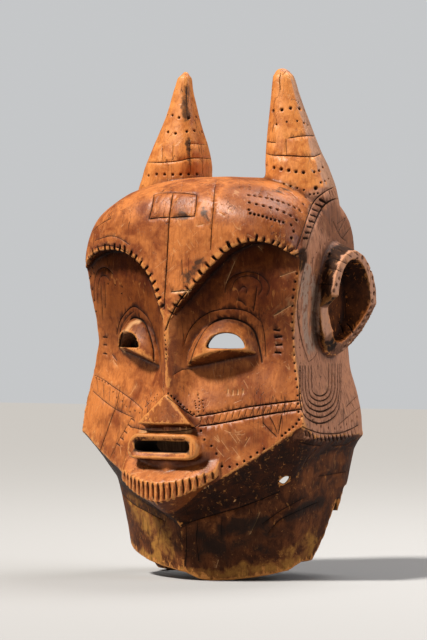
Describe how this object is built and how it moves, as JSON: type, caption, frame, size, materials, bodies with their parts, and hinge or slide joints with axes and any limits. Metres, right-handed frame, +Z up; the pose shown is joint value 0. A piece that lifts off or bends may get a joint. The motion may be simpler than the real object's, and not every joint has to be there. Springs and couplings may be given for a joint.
{
  "type": "horned helmet mask",
  "caption": "Horned helmet mask carved in wood, hollow inside, with hooded eyes, slot mouth, fluted beard, ring ears and a neck collar.",
  "frame": {"origin": "on the floor under the middle of the mask's bounding box", "axes": "+Z up along the mask, the face looks along -Y, +X is the mask's own left"},
  "size_m": [0.312, 0.2492, 0.564],
  "materials": {
    "carved_wood": "worn satin patina, warm orange-brown with dark recesses"
  },
  "bodies": {
    "root": {"helmet_mask": "carved_wood"}
  },
  "joints": []
}
